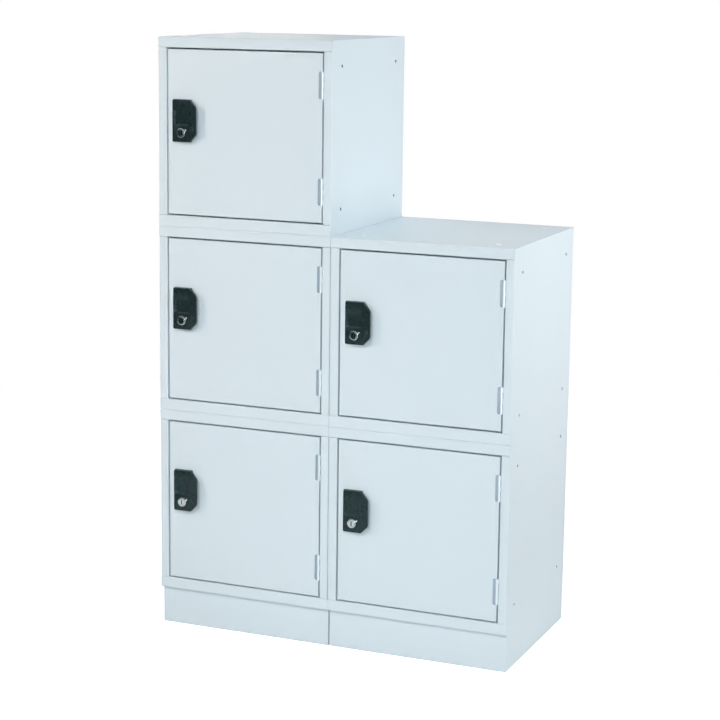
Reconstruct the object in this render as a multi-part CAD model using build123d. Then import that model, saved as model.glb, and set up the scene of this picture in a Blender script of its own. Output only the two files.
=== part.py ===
from build123d import *
import math
import os

# A bank of five steel cube lockers on two plinths: three cubes in the left column, two in the right.
# Millimetres. +X is to the right seen from the front, +Y to the back, +Z up.
# Each cube is drawn in its own frame first: x from its left side, y from its front face, z from its bottom.

# Cube and sheet
WIDTH = 380.0
DEPTH = 380.0
HEIGHT = 380.0
SHEET = 1.0
BEND = 2.0
RAIL_BEND = 1.6

# Front frame of a cube
LOCK_STILE = 19.0
HINGE_STILE = 17.5
TOP_RAIL = 21.3
BOTTOM_RAIL = 22.7
LOCK_STILE_LIP = 18.9
HINGE_STILE_LIP = 15.0
RAIL_LIP = 15.0
RAIL_JOINT = 0.2

# Welding flanges of the top and bottom panels
FLANGE_DROP = 13.0
FLANGE_FRONT = 16.0
FLANGE_CORNER = 4.0

# Holes for linking bolts, and the hanging holes used when the panels are painted
HOLE_INSET = 50.0
LINK_HOLE_R = 3.25
HANG_HOLE_R = 3.5
HANG_HOLE_INSET = 8.0

# Door pan
LOCK_GAP = 3.0
HINGE_GAP = 2.5
LEVEL_GAP = 3.0
DOOR_DEPTH = 18.0
DOOR_BEND = 1.5
DOOR_LIP = 12.0
DOOR_LEFT = LOCK_STILE + LOCK_GAP
DOOR_RIGHT = WIDTH - HINGE_STILE - HINGE_GAP
DOOR_BOTTOM = BOTTOM_RAIL + LEVEL_GAP
DOOR_TOP = HEIGHT - TOP_RAIL - LEVEL_GAP

# Hinges: two to a door, each with five knuckles round a pin
HINGE_LENGTH = 52.7
HINGE_SPREAD = 103.6
LEAF = 1.2
PIN_R = 1.25
PIN_PLAY = 0.05
KNUCKLE_R = PIN_R + PIN_PLAY + LEAF
KNUCKLES = 5
KNUCKLE_GAP = 0.3
PIN_OVERHANG = 0.3
PIN_X = DOOR_RIGHT
PIN_Y = SHEET + LEAF - KNUCKLE_R
DOOR_LEAF_REACH = 22.0
FRAME_LEAF_REACH = 13.0
KNUCKLE_RELIEF = 0.4
NOTCH_WIDTH = 8.5
NOTCH_CHAMFER = 2.5
NOTCH_PLAY = 0.5
NOTCH_DEPTH = 4.0
HINGE_LEVELS = (HEIGHT / 2 - HINGE_SPREAD, HEIGHT / 2 + HINGE_SPREAD)

# Moulded lock handle: a block beside the door edge with a pull lip on its right
HANDLE_LEFT = 33.6
HANDLE_RIGHT = 75.0
HANDLE_BOTTOM = 171.7
HANDLE_TOP = 256.9
HANDLE_FACE = 10.0
HANDLE_DRAFT = 3.4
HANDLE_EDGE = 2.5
HANDLE_TAPER = 3.0
LIP_X = 92.5
LIP_PROUD = 15.0
LIP_FLAT = 3.0
LIP_THICK = 2.6
LIP_TOP = 243.0
LIP_BOTTOM = 187.0
LIP_CORNER = 6.0
LIP_HOLLOW = ((9.0, 2.2), (3.0, 5.4))
SCOOP_LEFT = 39.6
SCOOP_RIGHT = 71.5
SCOOP_BOTTOM = 204.5
SCOOP_TOP = 241.0
SCOOP_DEPTH = 4.6
SCOOP_SLOPE = 2.4
RIB_COUNT = 6
RIB_PITCH = 4.2
RIB_WIDTH = 1.4
RIB_HEIGHT = 0.5
RIB_BOTTOM = 243.5
RIB_TOP = 251.0
PEG_R = 2.6
PEG_Z = 236.0
PEG_END = 6.0

# Cam lock
LOCK_X = 55.6
LOCK_Z = 190.2
BARREL_R = 8.0
BARREL_END = 17.0
BARREL_PLAY = 0.1
COLLAR_R = 9.5
COLLAR_THICK = 1.2
COLLAR_LOBE_R = 2.4
COLLAR_LOBE_OUT = 11.6
COLLAR_LOBE_ANGLE = 29.0
PLUG_R = 6.0
PLUG_PLAY = 0.05
PLUG_HEAD_R = 7.6
PLUG_HEAD_THICK = 1.9
KEYWAY_WIDTH = 2.2
KEYWAY_HEIGHT = 9.5
KEYWAY_DEPTH = 7.0
NUT_FLATS = 22.0
NUT_THICK = 4.0
CAM_FRONT = 19.4
CAM_THICK = 2.0
CAM_WIDTH = 14.0
CAM_REACH = 44.0
CAM_SQUARE = 7.0
CAM_SQUARE_PLAY = 0.1
CAM_SCREW_R = 2.0
CAM_SCREW_LENGTH = 9.0
CAM_SCREW_HEAD_R = 5.0
CAM_SCREW_HEAD = 2.6

# Plinth
PLINTH_HEIGHT = 78.0
PLINTH_RECESS = 9.5
PLINTH_SHEET = 1.2
PLINTH_RETURN = 10.0

# Linking bolts and nuts, M6
BOLT_R = 3.0
BOLT_HEAD_R = 5.6
BOLT_HEAD = 3.2
BOLT_LENGTH = 9.0
BOLT_HEAD_ROUND = 1.9
LINK_NUT_FLATS = 10.0
LINK_NUT = 5.0

# White button plugs in spare top holes
BUTTON_R = 5.2
BUTTON_RISE = 1.5
BUTTON_ROUND = 1.2
BUTTON_STEM_R = 3.15
BUTTON_STEM = 4.0

# The whole bank stands centred on its origin, handles included
FRONT_Y = -(DEPTH - LIP_PROUD) / 2
COLUMN_X = {"left": -WIDTH, "right": 0.0}
CUBES = {
    "left_top": ("left", 2),
    "left_middle": ("left", 1),
    "left_bottom": ("left", 0),
    "right_top": ("right", 1),
    "right_bottom": ("right", 0),
}


def block(x0, x1, y0, y1, z0, z1):
    """A box between two corners."""
    centre = Location(((x0 + x1) / 2, (y0 + y1) / 2, (z0 + z1) / 2))
    return centre * Box(x1 - x0, y1 - y0, z1 - z0)


def rod(radius, start, end, axis):
    """A round bar between two levels on an axis given as "x", "y" or "z", through the other two values."""
    length = end - start[0]
    middle = (start[0] + end) / 2
    turns = {"x": (0, 90, 0), "y": (90, 0, 0), "z": (0, 0, 0)}
    places = {
        "x": (middle, start[1], start[2]),
        "y": (start[1], middle, start[2]),
        "z": (start[1], start[2], middle),
    }
    return Location(places[axis], turns[axis]) * Cylinder(radius, length)


def bent_strip(points, thickness, bend):
    """The edge-on face of a folded sheet: its outer line, with the metal to the right of it."""
    inner = []
    for i, (x, y) in enumerate(points):
        sides = []
        if i > 0:
            sides.append((points[i - 1], points[i]))
        if i < len(points) - 1:
            sides.append((points[i], points[i + 1]))
        dx = 0.0
        dy = 0.0
        for (ax, ay), (bx, by) in sides:
            run = math.hypot(bx - ax, by - ay)
            dx += (by - ay) / run
            dy -= (bx - ax) / run
        inner.append((x + dx * thickness, y + dy * thickness))
    outside = FilletPolyline(*points, radius=bend)
    inside = FilletPolyline(*inner, radius=bend - thickness)
    start = Line(points[0], inner[0])
    end = Line(points[-1], inner[-1])
    return make_face([*outside.edges(), *inside.edges(), start, end])


def corner_holes():
    """The two distances from an edge at which a panel is punched, in pairs."""
    near = HOLE_INSET
    far = WIDTH - HOLE_INSET
    return [(a, b) for a in (near, far) for b in (near, far)]


def wrap():
    """Both sides, the back and the two front stiles, folded from one sheet."""
    outline = [
        (LOCK_STILE, LOCK_STILE_LIP),
        (LOCK_STILE, 0),
        (0, 0),
        (0, DEPTH),
        (WIDTH, DEPTH),
        (WIDTH, 0),
        (WIDTH - HINGE_STILE, 0),
        (WIDTH - HINGE_STILE, HINGE_STILE_LIP),
    ]
    shell = extrude(bent_strip(outline, SHEET, BEND), HEIGHT - 2 * SHEET, dir=(0, 0, 1))
    shell = Location((0, 0, SHEET)) * shell
    lip_room = LOCK_STILE_LIP + SHEET
    for low, high in ((-SHEET, BOTTOM_RAIL + RAIL_JOINT), (HEIGHT - TOP_RAIL - RAIL_JOINT, HEIGHT + SHEET)):
        shell -= block(-SHEET, WIDTH + SHEET, -SHEET, RAIL_BEND, low, high)
        shell -= block(SHEET, WIDTH - SHEET, -SHEET, lip_room, low, high)
    for y, z in corner_holes():
        shell -= rod(LINK_HOLE_R, (-SHEET, y, z), WIDTH + SHEET, "x")
    return shell


def end_panel(rail):
    """A top panel with its front rail turned down; the bottom panel is the same part turned over."""
    outline = [(RAIL_LIP, -rail), (0, -rail), (0, 0), (DEPTH, 0)]
    profile = Plane.YZ * bent_strip(outline, SHEET, RAIL_BEND)
    panel = extrude(profile, WIDTH, dir=(1, 0, 0))
    panel -= block(-SHEET, SHEET, SHEET, RAIL_LIP + SHEET, -rail - SHEET, -rail + RAIL_BEND)
    panel -= block(WIDTH - SHEET, WIDTH + SHEET, SHEET, RAIL_LIP + SHEET, -rail - SHEET, -rail + RAIL_BEND)
    back = DEPTH - SHEET
    low = -SHEET - FLANGE_DROP
    panel += block(SHEET, 2 * SHEET, FLANGE_FRONT, DEPTH - FLANGE_CORNER, low, -SHEET)
    panel += block(WIDTH - 2 * SHEET, WIDTH - SHEET, FLANGE_FRONT, DEPTH - FLANGE_CORNER, low, -SHEET)
    panel += block(FLANGE_CORNER, WIDTH - FLANGE_CORNER, back - SHEET, back, low, -SHEET)
    for x, y in corner_holes():
        panel -= rod(LINK_HOLE_R, (-2 * SHEET, x, y), SHEET, "z")
    for y in (HANG_HOLE_INSET, DEPTH - HANG_HOLE_INSET):
        panel -= rod(HANG_HOLE_R, (-2 * SHEET, WIDTH / 2, y), SHEET, "z")
    return panel


def top_panel():
    return Location((0, 0, HEIGHT)) * end_panel(TOP_RAIL)


def bottom_panel():
    return mirror(end_panel(BOTTOM_RAIL), about=Plane.XY)


def hinge_notch(level):
    """What is cut from the door's right edge round one hinge."""
    half = HINGE_LENGTH / 2 + NOTCH_PLAY
    left = DOOR_RIGHT - NOTCH_WIDTH
    right = DOOR_RIGHT + SHEET
    outline = Polyline(
        (right, level - half),
        (left + NOTCH_CHAMFER, level - half),
        (left, level - half + NOTCH_CHAMFER),
        (left, level + half - NOTCH_CHAMFER),
        (left + NOTCH_CHAMFER, level + half),
        (right, level + half),
        close=True,
    )
    front = Plane.XZ * make_face(outline.edges())
    skin_cut = Location((0, -SHEET, 0)) * extrude(front, 2 * SHEET, dir=(0, 1, 0))
    return skin_cut + block(DOOR_RIGHT - 2 * SHEET, right, -SHEET, NOTCH_DEPTH, level - half, level + half)


def door():
    """A folded pan: skin, four returns and a stiffening lip all round the back."""
    pan = block(DOOR_LEFT, DOOR_RIGHT, 0, DOOR_DEPTH, DOOR_BOTTOM, DOOR_TOP)
    pan = fillet(pan.faces().sort_by(Axis.Y)[0].edges(), DOOR_BEND)
    pan -= block(
        DOOR_LEFT + SHEET,
        DOOR_RIGHT - SHEET,
        SHEET,
        DOOR_DEPTH - SHEET,
        DOOR_BOTTOM + SHEET,
        DOOR_TOP - SHEET,
    )
    pan -= block(
        DOOR_LEFT + DOOR_LIP,
        DOOR_RIGHT - DOOR_LIP,
        DOOR_DEPTH / 2,
        DOOR_DEPTH + SHEET,
        DOOR_BOTTOM + DOOR_LIP,
        DOOR_TOP - DOOR_LIP,
    )
    for level in HINGE_LEVELS:
        pan -= hinge_notch(level)
    pan -= rod(BARREL_R + BARREL_PLAY, (-SHEET, LOCK_X, LOCK_Z), 2 * SHEET, "y")
    pan -= rod(PEG_R + BARREL_PLAY, (-SHEET, LOCK_X, PEG_Z), 2 * SHEET, "y")
    return pan


def knuckle_spans(level, first):
    """The heights of every other knuckle of one hinge, from the first or the second up."""
    pitch = HINGE_LENGTH / KNUCKLES
    bottom = level - HINGE_LENGTH / 2
    spans = []
    for i in range(first, KNUCKLES, 2):
        low = bottom + i * pitch + (KNUCKLE_GAP / 2 if i else 0)
        high = bottom + (i + 1) * pitch - (KNUCKLE_GAP / 2 if i < KNUCKLES - 1 else 0)
        spans.append((low, high))
    return spans


def knuckle(low, high):
    return rod(KNUCKLE_R, (low, PIN_X, PIN_Y), high, "z")


def pin_bore(level):
    half = HINGE_LENGTH / 2 + SHEET
    return rod(PIN_R + PIN_PLAY, (level - half, PIN_X, PIN_Y), level + half, "z")


def frame_leaf(level):
    """The half of a hinge that is welded to the stile's lip."""
    half = HINGE_LENGTH / 2
    right = PIN_X + KNUCKLE_R
    plate_front = PIN_Y + KNUCKLE_R + KNUCKLE_RELIEF
    leaf = block(right - LEAF, right, plate_front, FRAME_LEAF_REACH, level - half, level + half)
    for low, high in knuckle_spans(level, 0):
        leaf += knuckle(low, high)
        leaf += block(right - LEAF, right, PIN_Y, plate_front, low, high)
    return leaf - pin_bore(level)


def door_leaf(level):
    """The half of a hinge that is welded behind the door's skin."""
    half = HINGE_LENGTH / 2
    back = PIN_Y + KNUCKLE_R
    plate_right = PIN_X - KNUCKLE_R - KNUCKLE_RELIEF
    leaf = block(PIN_X - DOOR_LEAF_REACH, plate_right, back - LEAF, back, level - half, level + half)
    for low, high in knuckle_spans(level, 1):
        leaf += knuckle(low, high)
        leaf += block(plate_right, PIN_X, back - LEAF, back, low, high)
    return leaf - pin_bore(level)


def hinge_pin(level):
    half = HINGE_LENGTH / 2 + PIN_OVERHANG
    pin = rod(PIN_R, (level - half, PIN_X, PIN_Y), level + half, "z")
    return chamfer(pin.edges(), PIN_R / 4)


def handle_profile():
    """The handle seen from above: a drafted left flank, a flat face and a lip that stands off the door.

    Behind the lip the outline hollows back to the block, which leaves room for the fingertips.
    """
    face = -HANDLE_FACE
    tip = -LIP_PROUD
    outline = Polyline(
        (HANDLE_LEFT, 0),
        (HANDLE_LEFT + HANDLE_DRAFT, face),
        (SCOOP_RIGHT, face),
        (LIP_X - LIP_FLAT, tip),
        (LIP_X, tip),
        (LIP_X, tip + LIP_THICK),
        *[(HANDLE_RIGHT + out, face + back) for out, back in LIP_HOLLOW],
        (HANDLE_RIGHT, 0),
        close=True,
    )
    return make_face(outline.edges())


def scoop():
    """The hollow in the handle's face above the lock, deepest at its foot."""
    face = -HANDLE_FACE
    outline = Polyline(
        (face, SCOOP_TOP),
        (face + SCOOP_DEPTH, SCOOP_BOTTOM + SCOOP_SLOPE),
        (face, SCOOP_BOTTOM),
        (face - SCOOP_DEPTH, SCOOP_BOTTOM),
        (face - SCOOP_DEPTH, SCOOP_TOP),
        close=True,
    )
    side = Plane.YZ * make_face(outline.edges())
    cut = Location((SCOOP_LEFT, 0, 0)) * extrude(side, SCOOP_RIGHT - SCOOP_LEFT, dir=(1, 0, 0))
    slant = Polyline(
        (SCOOP_LEFT - SCOOP_SLOPE, face - SCOOP_DEPTH),
        (SCOOP_LEFT, face),
        (SCOOP_LEFT + SCOOP_SLOPE, face + SCOOP_DEPTH),
        (SCOOP_LEFT - SCOOP_SLOPE, face + SCOOP_DEPTH),
        close=True,
    )
    keep = extrude(make_face(slant.edges()), HEIGHT, dir=(0, 0, 1))
    return cut - keep


def lock_handle():
    """The black moulding that holds the lock and is pulled to open the door."""
    height = HANDLE_TOP - HANDLE_BOTTOM
    body = Location((0, 0, HANDLE_BOTTOM)) * extrude(handle_profile(), height, dir=(0, 0, 1))
    front = Polyline(
        (HANDLE_LEFT, HANDLE_BOTTOM),
        (HANDLE_RIGHT, HANDLE_BOTTOM),
        (LIP_X, LIP_BOTTOM),
        (LIP_X, LIP_TOP),
        (HANDLE_RIGHT, HANDLE_TOP),
        (HANDLE_LEFT, HANDLE_TOP),
        close=True,
    )
    face = make_face(front.edges())
    left_corners = face.vertices().filter_by(lambda v: v.X < HANDLE_LEFT + 1)
    face = fillet(left_corners, HANDLE_EDGE)
    lip_corners = face.vertices().filter_by(lambda v: v.X > LIP_X - 1)
    face = fillet(lip_corners, LIP_CORNER)
    outline = extrude(Plane.XZ * face, LIP_PROUD + 1, dir=(0, -1, 0), taper=HANDLE_TAPER)
    body = body & outline
    body -= scoop()
    first = (SCOOP_LEFT + SCOOP_RIGHT - (RIB_COUNT - 1) * RIB_PITCH) / 2
    for i in range(RIB_COUNT):
        x = first + i * RIB_PITCH
        front_y = -HANDLE_FACE - RIB_HEIGHT
        body += block(x - RIB_WIDTH / 2, x + RIB_WIDTH / 2, front_y, -HANDLE_FACE, RIB_BOTTOM, RIB_TOP)
    body -= rod(BARREL_R + BARREL_PLAY, (-LIP_PROUD, LOCK_X, LOCK_Z), SHEET, "y")
    body += rod(PEG_R, (-SHEET, LOCK_X, PEG_Z), PEG_END, "y")
    return body


def lock_barrel():
    """The lock's housing with its collar, and the nut that clamps it to the door skin."""
    face = -HANDLE_FACE
    barrel = rod(BARREL_R, (face, LOCK_X, LOCK_Z), BARREL_END, "y")
    collar = rod(COLLAR_R, (face - COLLAR_THICK, LOCK_X, LOCK_Z), face, "y")
    angle = math.radians(COLLAR_LOBE_ANGLE)
    lobe_x = LOCK_X + COLLAR_LOBE_OUT * math.cos(angle)
    lobe_z = LOCK_Z + COLLAR_LOBE_OUT * math.sin(angle)
    collar += rod(COLLAR_LOBE_R, (face - COLLAR_THICK, lobe_x, lobe_z), face, "y")
    barrel += collar
    barrel -= rod(PLUG_HEAD_R + PLUG_PLAY, (face - 2 * COLLAR_THICK, LOCK_X, LOCK_Z), face, "y")
    barrel -= rod(PLUG_R + PLUG_PLAY, (face - SHEET, LOCK_X, LOCK_Z), BARREL_END + SHEET, "y")
    hexagon = RegularPolygon(NUT_FLATS / 2, 6, major_radius=False)
    nut = extrude(Plane.XZ * hexagon, NUT_THICK, dir=(0, 1, 0))
    nut = Location((LOCK_X, SHEET, LOCK_Z)) * nut
    nut -= rod(BARREL_R + BARREL_PLAY, (0, LOCK_X, LOCK_Z), 2 * SHEET + NUT_THICK, "y")
    return [barrel, nut]


def lock_plug():
    """The turning core, with the keyway in its head and a square tail for the cam."""
    floor = -HANDLE_FACE - PLUG_PLAY
    head_front = floor - PLUG_HEAD_THICK
    head = rod(PLUG_HEAD_R, (head_front, LOCK_X, LOCK_Z), floor, "y")
    head = chamfer(head.edges().sort_by(Axis.Y)[0], PLUG_HEAD_THICK / 4)
    core = head + rod(PLUG_R, (floor, LOCK_X, LOCK_Z), CAM_FRONT, "y")
    half = CAM_SQUARE / 2
    tail = CAM_FRONT + CAM_THICK
    core += block(LOCK_X - half, LOCK_X + half, CAM_FRONT, tail, LOCK_Z - half, LOCK_Z + half)
    half_width = KEYWAY_WIDTH / 2
    half_height = KEYWAY_HEIGHT / 2
    core -= block(
        LOCK_X - half_width,
        LOCK_X + half_width,
        head_front - SHEET,
        head_front + KEYWAY_DEPTH,
        LOCK_Z - half_height,
        LOCK_Z + half_height,
    )
    bottom = tail - CAM_SCREW_LENGTH - SHEET
    core -= rod(CAM_SCREW_R + BARREL_PLAY, (bottom, LOCK_X, LOCK_Z), tail + SHEET, "y")
    return core


def lock_cam():
    """The cam, pointing down while the lock is open, and the screw that holds it."""
    half = CAM_WIDTH / 2
    back = CAM_FRONT + CAM_THICK
    tip = LOCK_Z - CAM_REACH
    plate = rod(half, (CAM_FRONT, LOCK_X, LOCK_Z), back, "y")
    plate += block(LOCK_X - half, LOCK_X + half, CAM_FRONT, back, tip + half, LOCK_Z)
    plate += rod(half, (CAM_FRONT, LOCK_X, tip + half), back, "y")
    hole = (CAM_SQUARE + CAM_SQUARE_PLAY) / 2
    square = (LOCK_X - hole, LOCK_X + hole, CAM_FRONT - SHEET, back + SHEET, LOCK_Z - hole, LOCK_Z + hole)
    plate -= block(*square)
    screw = rod(CAM_SCREW_HEAD_R, (back, LOCK_X, LOCK_Z), back + CAM_SCREW_HEAD, "y")
    screw = fillet(screw.edges().sort_by(Axis.Y)[-1], CAM_SCREW_HEAD / 2)
    screw += rod(CAM_SCREW_R, (back - CAM_SCREW_LENGTH, LOCK_X, LOCK_Z), back, "y")
    return [plate, screw]


def plinth():
    """A skirt set back at the front as a toe space, the deck on it and the flat frame under it."""
    sheet = PLINTH_SHEET
    front = PLINTH_RECESS
    top = PLINTH_HEIGHT - sheet
    solid = block(0, WIDTH, front, DEPTH, 0, PLINTH_HEIGHT)
    solid = fillet(solid.edges().filter_by(Axis.Z), BEND)
    deck = solid & block(0, WIDTH, front, DEPTH, top, PLINTH_HEIGHT)
    for x, y in corner_holes():
        deck -= rod(LINK_HOLE_R, (top - sheet, x, y), PLINTH_HEIGHT + sheet, "z")
    skirt = solid & block(0, WIDTH, front, DEPTH, sheet, top)
    skirt -= block(sheet, WIDTH - sheet, front + sheet, DEPTH - sheet, 0, PLINTH_HEIGHT)
    frame = solid & block(0, WIDTH, front, DEPTH, 0, sheet)
    lip = PLINTH_RETURN
    frame -= block(lip, WIDTH - lip, front + lip, DEPTH - lip, -sheet, 2 * sheet)
    return [deck, skirt, frame]


def bolt():
    """A round-headed bolt pointing down from the sheet it sits on, at z = 0."""
    head = rod(BOLT_HEAD_R, (0, 0, 0), BOLT_HEAD, "z")
    head = fillet(head.edges().sort_by(Axis.Z)[-1], BOLT_HEAD_ROUND)
    return head + rod(BOLT_R, (-BOLT_LENGTH, 0, 0), 0, "z")


def link_nut():
    """A hexagon nut hanging below z = 0."""
    hexagon = RegularPolygon(LINK_NUT_FLATS / 2, 6, major_radius=False)
    body = extrude(hexagon, LINK_NUT, dir=(0, 0, -1))
    return body - rod(BOLT_R + BARREL_PLAY, (-LINK_NUT - SHEET, 0, 0), SHEET, "z")


def button_plug():
    """A white plastic plug with a low domed head, seated on z = 0."""
    head = rod(BUTTON_R, (0, 0, 0), BUTTON_RISE, "z")
    head = fillet(head.edges().sort_by(Axis.Z)[-1], BUTTON_ROUND)
    return head + rod(BUTTON_STEM_R, (-BUTTON_STEM, 0, 0), 0, "z")


def cube_place(cube):
    """Where a cube's own frame lies in the bank's."""
    column, row = CUBES[cube]
    return Location((COLUMN_X[column], FRONT_Y, PLINTH_HEIGHT + row * HEIGHT))


def link_seats():
    """Every bolted joint: its place and turn, and the thickness of metal that it clamps."""
    seats = []
    for column, row in CUBES.values():
        base = PLINTH_HEIGHT + row * HEIGHT
        below = PLINTH_SHEET if row == 0 else SHEET
        for x, y in corner_holes():
            place = Location((COLUMN_X[column] + x, FRONT_Y + y, base + SHEET))
            seats.append((place, SHEET + below))
    for row in (0, 1):
        base = PLINTH_HEIGHT + row * HEIGHT
        for y, z in corner_holes():
            place = Location((-SHEET, FRONT_Y + y, base + z), (0, -90, 0))
            seats.append((place, 2 * SHEET))
    return seats


def save(shapes, name):
    """Writes one node, of one solid or of several like ones."""
    solids = shapes if isinstance(shapes, list) else [shapes]
    parts = [solid for shape in solids for solid in shape.solids()]
    shape = parts[0] if len(parts) == 1 else Compound(children=parts)
    export_step(shape, f"parts/{name}.step")


def save_cube(cube, pieces):
    """Writes one cube's eleven nodes."""
    place = cube_place(cube)
    for name, shapes in pieces.items():
        moved = [place * shape for shape in shapes]
        save(moved, f"{cube}_{name}")


def cube_pieces():
    """Every piece of one cube, in the cube's own frame."""
    return {
        "wrap": [wrap()],
        "top_panel": [top_panel()],
        "bottom_panel": [bottom_panel()],
        "door": [door()],
        "hinge_frame_leaves": [frame_leaf(level) for level in HINGE_LEVELS],
        "hinge_door_leaves": [door_leaf(level) for level in HINGE_LEVELS],
        "hinge_pins": [hinge_pin(level) for level in HINGE_LEVELS],
        "lock_handle": [lock_handle()],
        "lock_barrel": lock_barrel(),
        "lock_plug": [lock_plug()],
        "lock_cam": lock_cam(),
    }


def main():
    os.makedirs("parts", exist_ok=True)
    pieces = cube_pieces()
    for cube in CUBES:
        save_cube(cube, pieces)
    for column, x in COLUMN_X.items():
        save([Location((x, FRONT_Y, 0)) * piece for piece in plinth()], f"plinth_{column}")
    seats = link_seats()
    save([place * bolt() for place, _ in seats], "link_bolts")
    save([place * Location((0, 0, -grip)) * link_nut() for place, grip in seats], "link_nuts")
    top = PLINTH_HEIGHT + 2 * HEIGHT
    plugged = [(x, y) for x, y in corner_holes() if x > WIDTH / 2 or y < DEPTH / 2]
    save([Location((x, FRONT_Y + y, top)) * button_plug() for x, y in plugged], "button_plugs")


if __name__ == "__main__":
    main()
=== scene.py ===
import math

import bmesh
import bpy
from mathutils import Matrix, Vector


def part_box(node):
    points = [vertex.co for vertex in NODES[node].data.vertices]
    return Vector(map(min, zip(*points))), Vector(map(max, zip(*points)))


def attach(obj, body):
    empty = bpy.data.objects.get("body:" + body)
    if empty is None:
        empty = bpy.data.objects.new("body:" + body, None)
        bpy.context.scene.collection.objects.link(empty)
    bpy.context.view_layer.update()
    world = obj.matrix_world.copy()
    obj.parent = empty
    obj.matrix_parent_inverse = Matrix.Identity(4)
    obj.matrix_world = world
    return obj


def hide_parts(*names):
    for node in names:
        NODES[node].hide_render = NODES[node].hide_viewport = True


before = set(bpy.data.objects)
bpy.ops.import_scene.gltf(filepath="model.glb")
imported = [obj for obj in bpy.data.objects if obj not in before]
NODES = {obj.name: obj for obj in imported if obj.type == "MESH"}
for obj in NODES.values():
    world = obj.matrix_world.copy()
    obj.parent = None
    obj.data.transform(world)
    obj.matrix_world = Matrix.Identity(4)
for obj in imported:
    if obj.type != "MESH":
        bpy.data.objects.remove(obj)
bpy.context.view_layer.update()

bl_info = {
    "name": "Cube locker bank",
    "version": (1, 0, 0),
    "blender": (4, 5, 0),
    "location": "View3D > Sidebar > Lockers",
    "description": "Dresses a bank of steel cube lockers with painted, moulded and plated pieces",
    "category": "Object",
}

CUBES = ("left_top", "left_middle", "left_bottom", "right_top", "right_bottom")
MM = 0.001


# Settings

class LockerSizes(bpy.types.PropertyGroup):
    """Sizes of the details that can be changed."""

    handle_edge: bpy.props.FloatProperty(
        name="Handle edge", description="Rounding of the handle's outer edges",
        default=0.0009, min=0.0001, subtype="DISTANCE", unit="LENGTH")
    scoop_depth: bpy.props.FloatProperty(
        name="Scoop depth", description="Depth of the thumb scoop at its foot",
        default=0.0026, min=0.0, subtype="DISTANCE", unit="LENGTH")
    rib_height: bpy.props.FloatProperty(
        name="Rib height", description="Height of the grip ribs above the scoop",
        default=0.0005, min=0.0, subtype="DISTANCE", unit="LENGTH")
    case_seam: bpy.props.FloatProperty(
        name="Case seam", description="How far a cube's sides stand in from its pitch",
        default=0.00035, min=0.0, subtype="DISTANCE", unit="LENGTH")
    plinth_seam: bpy.props.FloatProperty(
        name="Plinth seam", description="How far a plinth's sides stand in from its pitch",
        default=0.001, min=0.0, subtype="DISTANCE", unit="LENGTH")
    thread_depth: bpy.props.FloatProperty(
        name="Thread depth", description="Depth of the thread on the lock barrels",
        default=0.0004, min=0.0, subtype="DISTANCE", unit="LENGTH")


class LockerColours(bpy.types.PropertyGroup):
    """Colours and gloss of the finishes."""

    paint: bpy.props.FloatVectorProperty(
        name="Paint", description="Pale grey powder coat",
        default=(0.660, 0.752, 0.800), size=3, min=0.0, max=1.0, subtype="COLOR")
    moulding: bpy.props.FloatVectorProperty(
        name="Moulding", description="Black moulded plastic of the handles",
        default=(0.0125, 0.0230, 0.0240), size=3, min=0.0, max=1.0, subtype="COLOR")
    zinc: bpy.props.FloatVectorProperty(
        name="Zinc", description="Zinc plate on the fasteners",
        default=(0.55, 0.60, 0.62), size=3, min=0.0, max=1.0, subtype="COLOR")
    knuckle: bpy.props.FloatVectorProperty(
        name="Knuckle", description="Bright zinc on the hinges' knuckles and pins",
        default=(0.80, 0.87, 0.90), size=3, min=0.0, max=1.0, subtype="COLOR")
    # The leaves are darker than the knuckles: dull zinc, and painted shade for the notch in the door that
    # the leaves sit in.
    leaf: bpy.props.FloatVectorProperty(
        name="Leaf", description="Dull zinc on the hinges' leaves",
        default=(0.37, 0.45, 0.52), size=3, min=0.0, max=1.0, subtype="COLOR")
    chrome: bpy.props.FloatVectorProperty(
        name="Chrome", description="Chrome plate on the locks",
        default=(0.52, 0.575, 0.60), size=3, min=0.0, max=1.0, subtype="COLOR")
    plug_plastic: bpy.props.FloatVectorProperty(
        name="Plug plastic", description="White plastic of the hole plugs",
        default=(0.86, 0.90, 0.92), size=3, min=0.0, max=1.0, subtype="COLOR")
    paint_roughness: bpy.props.FloatProperty(
        name="Paint roughness", description="Mean roughness of the powder coat",
        default=0.42, min=0.0, max=1.0, subtype="FACTOR")


class LockerStudio(bpy.types.PropertyGroup):
    """Lamps and camera."""

    front_power: bpy.props.FloatProperty(
        name="Front lamp", description="Power of the large lamp in front",
        default=68.0, min=0.0, unit="POWER")
    high_power: bpy.props.FloatProperty(
        name="High lamp", description="Power of the high lamp, which puts a shadow under the lowest rails",
        default=8.7, min=0.0, unit="POWER")
    left_power: bpy.props.FloatProperty(
        name="Left lamp", description="Power of the lamp at the left, which throws the handles' shadows",
        default=11.0, min=0.0, unit="POWER")
    side_power: bpy.props.FloatProperty(
        name="Side lamp", description="Power of the large lamp at the right",
        default=68.0, min=0.0, unit="POWER")
    near_power: bpy.props.FloatProperty(
        name="Near lamp", description="Power of the small lamp beside the upper cube",
        default=1.3, min=0.0, unit="POWER")
    top_power: bpy.props.FloatProperty(
        name="Top lamp", description="Power of the lamp above",
        default=18.5, min=0.0, unit="POWER")
    back_power: bpy.props.FloatProperty(
        name="Back lamp", description="Power of the lamp behind, at the left",
        default=95.0, min=0.0, unit="POWER")
    horizon: bpy.props.FloatProperty(
        name="Horizon", description="Level of the even light from the walls",
        default=0.15, min=0.0)
    zenith: bpy.props.FloatProperty(
        name="Zenith", description="Level of the even light from the ceiling",
        default=0.10, min=0.0)
    floor_level: bpy.props.FloatProperty(
        name="Floor level", description="How white the floor looks where no shadow falls",
        default=2.2, min=0.0)
    lens: bpy.props.FloatProperty(
        name="Lens", description="Focal length of the camera",
        default=99.04, min=1.0, unit="CAMERA")


# Node groups and materials

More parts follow.
